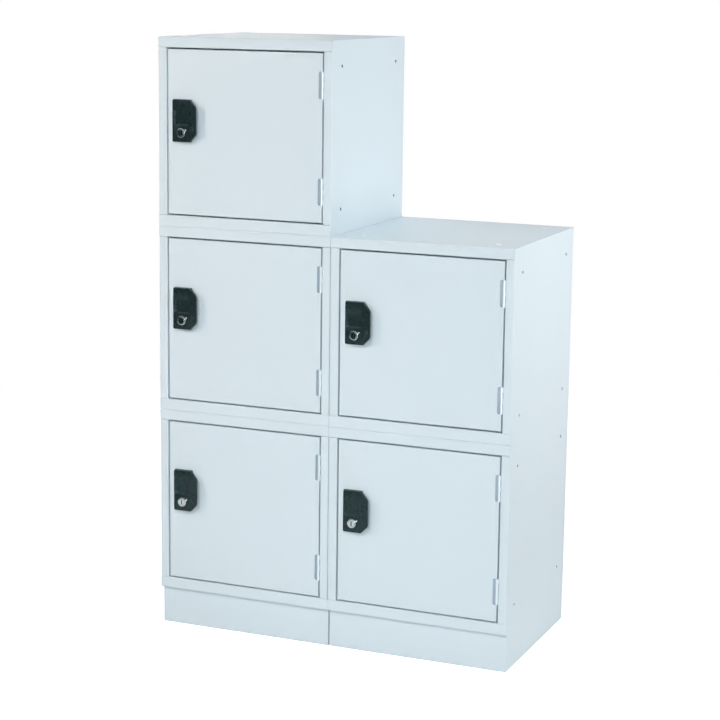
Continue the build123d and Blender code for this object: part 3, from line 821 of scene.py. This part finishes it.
def lock_barrel(sizes):
    """The housing with its collar and thread, the ear on the collar, and the clamping nut."""
    face = HANDLE_FACE
    front = face - COLLAR_HEIGHT
    body = [
        (PLUG_BORE, face), (COLLAR_BORE, face), (COLLAR_BORE, front + 0.2), (7.8, front), (8.75, front),
        (9.15, front + 0.25), (9.4, front + 0.6), (9.5, face - 0.1), (9.45, face),
        (THREAD_CREST, face), (THREAD_CREST, 2.0),
    ]
    root = THREAD_CREST - sizes.thread_depth / MM
    for i in range(THREAD_STEPS):
        body.append((THREAD_CREST if i % 2 else root, THREAD_START + THREAD_STEP * i))
    body += [(root, BARREL_BACK), (PLUG_BORE, BARREL_BACK)]
    bm = bmesh.new()
    spun(bm, body, (LOCK_X, LOCK_Z), "Y", 56)
    angle = math.radians(EAR_ANGLE)
    ear = (LOCK_X + EAR_REACH * math.cos(angle), LOCK_Z + EAR_REACH * math.sin(angle))
    dome = [
        (0.0, front), (0.9, front + 0.1), (1.6, front + 0.36),
        (2.05, front + 0.74), (2.25, face), (0.0, face),
    ]
    spun(bm, dome, ear, "Y", 28, closed=False)
    nut = prism(6, NUT_RADIUS, NUT_HEIGHT)
    bevel_edges(nut, nut.edges[:], NUT_ROUND)
    laid_along_y(nut)
    bmesh.ops.translate(nut, vec=(LOCK_X, NUT_MIDDLE, LOCK_Z), verts=nut.verts)
    nut = cut_away(nut, cylinder_cutter(LOCK_HOLE, (LOCK_X, NUT_MIDDLE, LOCK_Z), 10.0))
    return joined(bm, nut)


def lock_plug():
    """The turning core: a disc with a groove and a keyway, and the square tail behind."""
    front = PLUG_FRONT
    seat = HANDLE_FACE - PLUG_PLAY
    core = [
        (0.0, front), (5.75, front), (5.95, front + 0.25), (6.15, front), (7.2, front),
        (PLUG_RADIUS, front + 0.5), (PLUG_RADIUS, seat), (PLUG_CORE, seat),
        (PLUG_CORE, PLUG_BACK - 0.4), (5.6, PLUG_BACK), (0.0, PLUG_BACK),
    ]
    bm = bmesh.new()
    spun(bm, core, (LOCK_X, LOCK_Z), "Y", 56, closed=False)
    slot = bmesh.new()
    low = (LOCK_X - KEYWAY_HALF, front - 2.0, LOCK_Z - KEYWAY_REACH)
    high = (LOCK_X + KEYWAY_HALF, front + KEYWAY_DEPTH, LOCK_Z + KEYWAY_REACH)
    brick(slot, low, high, KEYWAY_ROUND)
    bm = cut_away(bm, slot)
    low = (LOCK_X - TAIL_HALF, TAIL_START, LOCK_Z - TAIL_HALF)
    brick(bm, low, (LOCK_X + TAIL_HALF, CAM_BACK, LOCK_Z + TAIL_HALF), TAIL_ROUND)
    return bm


def keyway_shutter():
    """The two sprung leaves that close the keyway, seen just behind the plug's face."""
    front, back = PLUG_FRONT + SHUTTER_FRONT, PLUG_FRONT + SHUTTER_BACK
    bm = bmesh.new()
    for low, high in ((-SHUTTER_REACH, -SHUTTER_GAP), (SHUTTER_GAP, SHUTTER_REACH)):
        corner = (LOCK_X - SHUTTER_HALF, front, LOCK_Z + low)
        brick(bm, corner, (LOCK_X + SHUTTER_HALF, back, LOCK_Z + high), SHUTTER_ROUND)
    return bm


def lock_cam():
    """The cam plate, pointing down, and the cross-slotted screw that holds it."""
    bm = bmesh.new()
    low = (LOCK_X - CAM_HALF, PLUG_BACK, LOCK_Z - CAM_DROP)
    brick(bm, low, (LOCK_X + CAM_HALF, CAM_BACK, LOCK_Z + CAM_HALF))
    ends = [e for e in bm.edges if abs(e.verts[0].co.y - e.verts[1].co.y) > 1.0]
    bevel_edges(bm, ends, CAM_ROUND, 10)
    bevel_edges(bm, sharp_edges(bm, 60.0), CAM_EDGE)
    dome = [(0.0, 24.0), (2.2, 23.9), (3.8, 23.4), (4.75, 22.5), (5.0, 21.9), (5.0, 21.3), (0.0, 21.3)]
    head = bmesh.new()
    spun(head, dome, (LOCK_X, LOCK_Z), "Y", 40, closed=False)
    for width, height in ((CROSS_LONG, CROSS_WIDE), (CROSS_WIDE, CROSS_LONG)):
        slot = bmesh.new()
        low = (LOCK_X - width / 2, CROSS_FOOT, LOCK_Z - height / 2)
        brick(slot, low, (LOCK_X + width / 2, CROSS_TOP, LOCK_Z + height / 2))
        head = cut_away(head, slot)
    return joined(bm, head)


class LOCKERS_OT_locks(bpy.types.Operator):
    """Turn the lock barrels and plugs, and press the cams"""

    bl_idname = "lockers.locks"
    bl_label = "Locks"

    def execute(self, context):
        sizes = context.scene.locker_sizes
        chrome = bpy.data.materials["lock_chrome_plate"]
        zinc = bpy.data.materials["fastener_zinc_plate"]
        moulding = bpy.data.materials["black_moulding_satin"]
        drawn = {
            "lock_barrel": (lock_barrel(sizes), chrome, "door_body", "lock_chrome"),
            "lock_plug": (lock_plug(), chrome, "lock_body", "lock_chrome"),
            "lock_cam": (lock_cam(), zinc, "lock_body", "zinc_steel"),
        }
        shutter = keyway_shutter()
        for cube in CUBES:
            place = Matrix.Translation(origin_of(cube))
            name = f"{cube}_keyway_shutter"
            finish_mesh(shutter.copy(), name, moulding, f"{cube}_lock_body", [], place)
        shutter.free()
        for part, (bm, material, body, slot) in drawn.items():
            for cube in CUBES:
                node = f"{cube}_{part}"
                place = Matrix.Translation(origin_of(cube))
                finish_mesh(bm.copy(), f"{node}_turned", material, f"{cube}_{body}", [node], place)
            bm.free()
        return {"FINISHED"}


# Fasteners

HOLE_INSET, CUBE = 50.0, 380.0
CASE_SHEET, PLINTH_SHEET = 1.0, 1.2
SOCKET_RADIUS, SOCKET_DEPTH, SOCKET_MIDDLE = 2.2, 4.0, 3.4
LINK_NUT_RADIUS, LINK_NUT_HEIGHT, LINK_NUT_HOLE, LINK_NUT_ROUND = 5.77, 5.0, 3.1, 0.3


def corner_holes():
    """The four places at which a panel is punched, from its lower left corner."""
    near, far = HOLE_INSET, CUBE - HOLE_INSET
    return [(a, b) for a in (near, far) for b in (near, far)]


def bolt():
    """A button-headed bolt with a hexagon socket, pointing down from z = 0."""
    head = bmesh.new()
    dome = [
        (0.0, 3.2), (2.4, 3.2), (3.6, 3.0), (4.6, 2.5), (5.3, 1.7), (5.6, 0.8), (5.6, 0.0),
        (3.0, 0.0), (3.0, -8.5), (2.5, -9.0), (0.0, -9.0),
    ]
    spun(head, dome, (0.0, 0.0), "Z", 28, closed=False)
    hexagon = prism(6, SOCKET_RADIUS, SOCKET_DEPTH)
    bmesh.ops.translate(hexagon, vec=(0, 0, SOCKET_MIDDLE), verts=hexagon.verts)
    return cut_away(head, hexagon)


def link_nut():
    """A hexagon nut hanging below z = 0."""
    nut = prism(6, LINK_NUT_RADIUS, LINK_NUT_HEIGHT)
    bevel_edges(nut, nut.edges[:], LINK_NUT_ROUND)
    hole = prism(28, LINK_NUT_HOLE, 12.0)
    for item in (nut, hole):
        bmesh.ops.translate(item, vec=(0, 0, -LINK_NUT_HEIGHT / 2), verts=item.verts)
    return cut_away(nut, hole)


def link_seats():
    """Every bolted joint in the bank: its place and turn, and the thickness it clamps, in millimetres."""
    seats = []
    for cube in CUBES:
        base = origin_of(cube) / MM
        below = PLINTH_SHEET if cube.endswith("bottom") else CASE_SHEET
        for x, y in corner_holes():
            seats.append((Matrix.Translation(base + Vector((x, y, CASE_SHEET))), CASE_SHEET + below))
    sideways = Matrix.Rotation(math.radians(-90.0), 4, "Y")
    for cube in ("right_top", "right_bottom"):
        base = origin_of(cube) / MM
        for y, z in corner_holes():
            place = Matrix.Translation(base + Vector((-CASE_SHEET, y, z))) @ sideways
            seats.append((place, 2 * CASE_SHEET))
    return seats


def repeated(bm, places):
    """Copies of a bmesh at each place, in one bmesh."""
    out = bmesh.new()
    for place in places:
        part = bm.copy()
        bmesh.ops.transform(part, matrix=place, verts=part.verts)
        joined(out, part)
    bm.free()
    return out


def button_plug():
    """A white plug with a low domed head and a stem, seated on z = 0."""
    bm = bmesh.new()
    dome = [
        (0.0, 1.5), (2.2, 1.45), (3.8, 1.2), (4.7, 0.8), (5.2, 0.3), (5.2, 0.0), (3.15, 0.0),
        (3.15, -3.6), (2.8, -4.0), (0.0, -4.0),
    ]
    spun(bm, dome, (0.0, 0.0), "Z", 36, closed=False)
    return bm


class LOCKERS_OT_fasteners(bpy.types.Operator):
    """Make the linking bolts and nuts, and the white hole plugs"""

    bl_idname = "lockers.fasteners"
    bl_label = "Fasteners"

    def execute(self, context):
        zinc = bpy.data.materials["fastener_zinc_plate"]
        white = bpy.data.materials["white_plug_plastic"]
        seats = link_seats()
        bolts = repeated(bolt(), [place for place, _ in seats])
        finish_mesh(bolts, "link_bolts_plated", zinc, "cabinet", ["link_bolts"])
        nuts = repeated(link_nut(), [place @ Matrix.Translation((0, 0, -grip)) for place, grip in seats])
        finish_mesh(nuts, "link_nuts_plated", zinc, "cabinet", ["link_nuts"])
        top = origin_of("right_top") / MM + Vector((0, 0, CUBE))
        plugged = [(x, y) for x, y in corner_holes() if x > CUBE / 2 or y < CUBE / 2]
        plugs = repeated(button_plug(), [Matrix.Translation(top + Vector((x, y, 0))) for x, y in plugged])
        finish_mesh(plugs, "button_plugs_moulded", white, "cabinet", ["button_plugs"])
        return {"FINISHED"}


# Studio

MIDDLE = (0.0, 0.0, 0.7)
LAMPS = (
    # name, place, target, size, colour, spread in degrees, whether it shows in mirrors
    ("front", (1.45, -4.17, 1.0), MIDDLE, (1.2, 1.2), (0.93, 0.97, 1.0), 180.0, True),
    ("high", (0.05, -3.4, 2.6), (0.15, 0.0, -0.2), (0.8, 0.8), (0.93, 0.97, 1.0), 70.0, False),
    ("left", (-1.45, -1.45, 1.45), (-0.1, 0.0, 0.8), (0.45, 0.45), (1.0, 0.84, 0.74), 180.0, False),
    ("side", (3.8, 0.9, 0.7), MIDDLE, (1.6, 1.6), (1.0, 1.0, 1.0), 180.0, True),
    ("near", (1.9, 0.1, 1.75), (0.2, 0.0, 0.8), (0.5, 0.5), (0.96, 0.99, 1.0), 60.0, True),
    ("top", (0.5, 0.7, 3.6), MIDDLE, (1.2, 1.2), (0.90, 0.97, 1.0), 180.0, True),
    ("back", (-2.6, 3.4, 0.85), MIDDLE, (1.8, 1.2), (1.0, 1.0, 1.0), 180.0, True),
)
CARDS = (
    # middle, size, turn in degrees
    ((-1.15, -2.0, 0.72), (1.7, 1.4), 0.0),
    ((-2.2, -1.35, 0.85), (1.6, 1.5), -60.0),
)
FLOOR_HALF, FLOOR_BOUNCE, FLOOR_IN_MIRRORS = 30.0, 0.62, 1.1
FADE_START, FADE_END = 1.2, 2.6
CAMERA_PLACE = (1.5422, -3.7038, 1.34)
YAW, PITCH, ROLL = 0.3973, -0.1736, 0.0122
SENSOR_WIDTH, SHIFT_UP, CLIP_END = 36.0, -0.05, 100.0


def area_lamp(name, power, place, target, size, colour, angle, mirrored):
    """A rectangular lamp turned to its target, which sends its light no wider than an angle in degrees."""
    data = bpy.data.lights.new(f"{name}_lamp", "AREA")
    data.shape = "RECTANGLE"
    data.size, data.size_y = size
    data.energy = power
    data.color = colour
    data.spread = math.radians(angle)
    lamp = bpy.data.objects.new(f"{name}_lamp", data)
    bpy.context.scene.collection.objects.link(lamp)
    lamp.location = place
    lamp.rotation_mode = "QUATERNION"
    lamp.rotation_quaternion = (Vector(target) - Vector(place)).to_track_quat("-Z", "Y")
    lamp.visible_camera = False
    lamp.visible_glossy = mirrored


def dark_card(middle, size, turn):
    """An upright black card that shows only in reflections, turned by an angle in degrees."""
    bm = bmesh.new()
    bmesh.ops.create_grid(bm, x_segments=1, y_segments=1, size=0.5)
    bmesh.ops.scale(bm, vec=(size[0], size[1], 1.0), verts=bm.verts)
    laid_along_y(bm)
    upright = Matrix.Rotation(math.radians(turn), 3, "Z")
    bmesh.ops.rotate(bm, cent=(0, 0, 0), matrix=upright, verts=bm.verts)
    bmesh.ops.translate(bm, vec=middle, verts=bm.verts)
    mesh = bpy.data.meshes.new("studio_card")
    bm.to_mesh(mesh)
    bm.free()
    card = bpy.data.objects.new("studio_card", mesh)
    bpy.context.scene.collection.objects.link(card)
    card.visible_camera = False
    card.visible_diffuse = False
    card.visible_shadow = False
    card.visible_transmission = False
    material = bpy.data.materials.new("card_black")
    material.use_nodes = True
    shader = material.node_tree.nodes["Principled BSDF"]
    shader.inputs["Base Color"].default_value = (0.012, 0.022, 0.026, 1.0)
    shader.inputs["Roughness"].default_value = 1.0
    shader.inputs["Specular IOR Level"].default_value = 0.0
    mesh.materials.append(material)


def seen_directly(tree):
    """A value that is 1 for camera, mirror and see-through rays and 0 for the others."""
    rays = tree.nodes.new("ShaderNodeLightPath")
    first = new_node(tree, "ShaderNodeMath", operation="MAXIMUM")
    second = new_node(tree, "ShaderNodeMath", operation="MAXIMUM")
    tree.links.new(rays.outputs["Is Camera Ray"], first.inputs[0])
    tree.links.new(rays.outputs["Is Glossy Ray"], first.inputs[1])
    tree.links.new(first.outputs[0], second.inputs[0])
    tree.links.new(rays.outputs["Is Transmission Ray"], second.inputs[1])
    return second.outputs[0]


def white_world(scene, horizon, zenith):
    """Even light from the walls and the ceiling, which is white where it is seen or mirrored."""
    world = bpy.data.worlds.new("white_studio")
    scene.world = world
    world.use_nodes = True
    tree = world.node_tree
    background = tree.nodes["Background"]
    background.inputs["Color"].default_value = (1.0, 1.0, 1.0, 1.0)
    direction = tree.nodes.new("ShaderNodeTexCoord")
    parts = tree.nodes.new("ShaderNodeSeparateXYZ")
    strength = new_node(tree, "ShaderNodeMapRange", in_To_Max=1.0)
    tree.links.new(direction.outputs["Generated"], parts.inputs[0])
    tree.links.new(spread(tree, parts.outputs["Z"], horizon, zenith), strength.inputs["To Min"])
    tree.links.new(seen_directly(tree), strength.inputs["Value"])
    tree.links.new(strength.outputs[0], background.inputs["Strength"])


def floor_material(whiteness):
    """White to the camera apart from shadows, darker as a source of light, and plain white far off."""
    material = bpy.data.materials.new("floor_white")
    material.use_nodes = True
    tree = material.node_tree
    tree.nodes.clear()
    link = tree.links.new
    out = tree.nodes.new("ShaderNodeOutputMaterial")
    diffuse = tree.nodes.new("ShaderNodeBsdfDiffuse")
    white = tree.nodes.new("ShaderNodeEmission")
    mix = tree.nodes.new("ShaderNodeMixShader")
    rays = tree.nodes.new("ShaderNodeLightPath")
    place = tree.nodes.new("ShaderNodeTexCoord")
    direct = seen_directly(tree)
    level = new_node(tree, "ShaderNodeMapRange", in_To_Max=whiteness)
    far = new_node(tree, "ShaderNodeVectorMath", operation="LENGTH")
    fade = new_node(
        tree, "ShaderNodeMapRange", in_From_Min=FADE_START, in_From_Max=FADE_END,
        interpolation_type="SMOOTHSTEP")
    gone = new_node(tree, "ShaderNodeMath", operation="MULTIPLY")
    link(rays.outputs["Is Camera Ray"], level.inputs["Value"])
    link(spread(tree, direct, FLOOR_BOUNCE, FLOOR_IN_MIRRORS), level.inputs["To Min"])
    link(level.outputs[0], diffuse.inputs["Color"])
    link(place.outputs["Object"], far.inputs[0])
    link(far.outputs["Value"], fade.inputs["Value"])
    link(fade.outputs[0], gone.inputs[0])
    link(direct, gone.inputs[1])
    link(gone.outputs[0], mix.inputs[0])
    link(diffuse.outputs[0], mix.inputs[1])
    link(white.outputs[0], mix.inputs[2])
    link(mix.outputs[0], out.inputs["Surface"])
    return material


def white_floor(scene, whiteness):
    """A wide flat floor."""
    bm = bmesh.new()
    bmesh.ops.create_grid(bm, x_segments=4, y_segments=4, size=FLOOR_HALF)
    mesh = bpy.data.meshes.new("studio_floor")
    bm.to_mesh(mesh)
    bm.free()
    floor = bpy.data.objects.new("studio_floor", mesh)
    scene.collection.objects.link(floor)
    mesh.materials.append(floor_material(whiteness))


def photo_camera(scene, lens):
    """The camera, turned by its yaw, its pitch and its roll in radians."""
    data = bpy.data.cameras.new("camera")
    camera = bpy.data.objects.new("camera", data)
    scene.collection.objects.link(camera)
    scene.camera = camera
    data.sensor_width = SENSOR_WIDTH
    data.lens = lens
    data.shift_y = SHIFT_UP
    data.clip_end = CLIP_END
    ahead = Vector((-math.sin(YAW) * math.cos(PITCH), math.cos(YAW) * math.cos(PITCH), math.sin(PITCH)))
    right = Vector((math.cos(YAW), math.sin(YAW), 0.0))
    up = right.cross(ahead)
    side = math.cos(ROLL) * right + math.sin(ROLL) * up
    head = -math.sin(ROLL) * right + math.cos(ROLL) * up
    camera.rotation_mode = "QUATERNION"
    camera.rotation_quaternion = Matrix((side, head, -ahead)).transposed().to_quaternion()
    camera.location = CAMERA_PLACE


class LOCKERS_OT_studio(bpy.types.Operator):
    """Set up the floor, the lamps and the camera"""

    bl_idname = "lockers.studio"
    bl_label = "Studio"

    def execute(self, context):
        scene = context.scene
        studio = scene.locker_studio
        scene.view_settings.view_transform = "Standard"
        white_world(scene, studio.horizon, studio.zenith)
        white_floor(scene, studio.floor_level)
        for name, *setting in LAMPS:
            area_lamp(name, getattr(studio, f"{name}_power"), *setting)
        for middle, size, turn in CARDS:
            dark_card(middle, size, turn)
        photo_camera(scene, studio.lens)
        return {"FINISHED"}


# Panel and start

class LOCKERS_PT_panel(bpy.types.Panel):
    """Lists the steps that dress the bank"""

    bl_idname = "LOCKERS_PT_panel"
    bl_label = "Lockers"
    bl_space_type = "VIEW_3D"
    bl_region_type = "UI"
    bl_category = "Lockers"

    def draw(self, context):
        layout = self.layout
        scene = context.scene
        for group in (scene.locker_sizes, scene.locker_colours, scene.locker_studio):
            box = layout.box()
            for name in group.__annotations__:
                box.prop(group, name)
        for step in STEPS:
            layout.operator(step.bl_idname)


SETTINGS = (LockerSizes, LockerColours, LockerStudio)
STEPS = (
    LOCKERS_OT_finishes,
    LOCKERS_OT_sheet_metal,
    LOCKERS_OT_hinges,
    LOCKERS_OT_handles,
    LOCKERS_OT_locks,
    LOCKERS_OT_fasteners,
    LOCKERS_OT_studio,
)


def register():
    for item in (*SETTINGS, *STEPS, LOCKERS_PT_panel):
        bpy.utils.register_class(item)
    bpy.types.Scene.locker_sizes = bpy.props.PointerProperty(type=LockerSizes)
    bpy.types.Scene.locker_colours = bpy.props.PointerProperty(type=LockerColours)
    bpy.types.Scene.locker_studio = bpy.props.PointerProperty(type=LockerStudio)


def unregister():
    del bpy.types.Scene.locker_studio
    del bpy.types.Scene.locker_colours
    del bpy.types.Scene.locker_sizes
    for item in reversed((*SETTINGS, *STEPS, LOCKERS_PT_panel)):
        bpy.utils.unregister_class(item)


def main():
    register()
    bpy.ops.lockers.finishes()
    bpy.ops.lockers.sheet_metal()
    bpy.ops.lockers.hinges()
    bpy.ops.lockers.handles()
    bpy.ops.lockers.locks()
    bpy.ops.lockers.fasteners()
    bpy.ops.lockers.studio()


if __name__ == "__main__":
    main()
